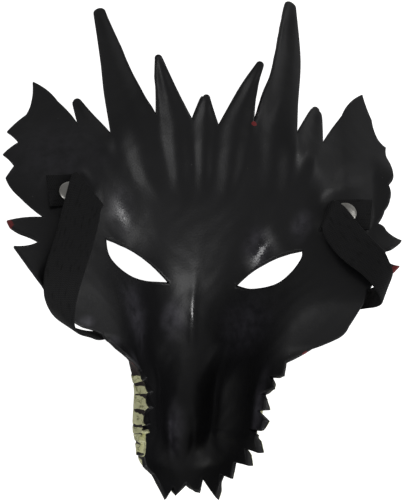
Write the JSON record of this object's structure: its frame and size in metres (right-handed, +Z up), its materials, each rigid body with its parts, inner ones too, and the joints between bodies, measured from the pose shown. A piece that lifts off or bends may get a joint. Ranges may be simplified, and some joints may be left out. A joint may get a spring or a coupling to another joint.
{
  "type": "dragon mask",
  "caption": "Moulded foam dragon half mask with horns, side fins, toothed muzzle and a riveted elastic strap, lying face down.",
  "frame": {"origin": "under the middle of the whole object's box, on the surface that the mask lies on", "axes": "+Y from the muzzle towards the horns, +Z up out of the hollow inner side, +X to the right as seen from above"},
  "size_m": [0.2282, 0.301, 0.0927],
  "materials": {
    "foam_skin": "satin black skin of moulded foam, painted dark red and black on the outer face, with cream teeth",
    "ribbed_elastic": "woven ribbed elastic, matte",
    "nickel": "nickel plated, slightly dulled"
  },
  "bodies": {
    "root": {"mask_shell": "foam_skin", "head_strap": "ribbed_elastic", "rivet_left": "nickel", "rivet_right": "nickel"}
  },
  "joints": []
}
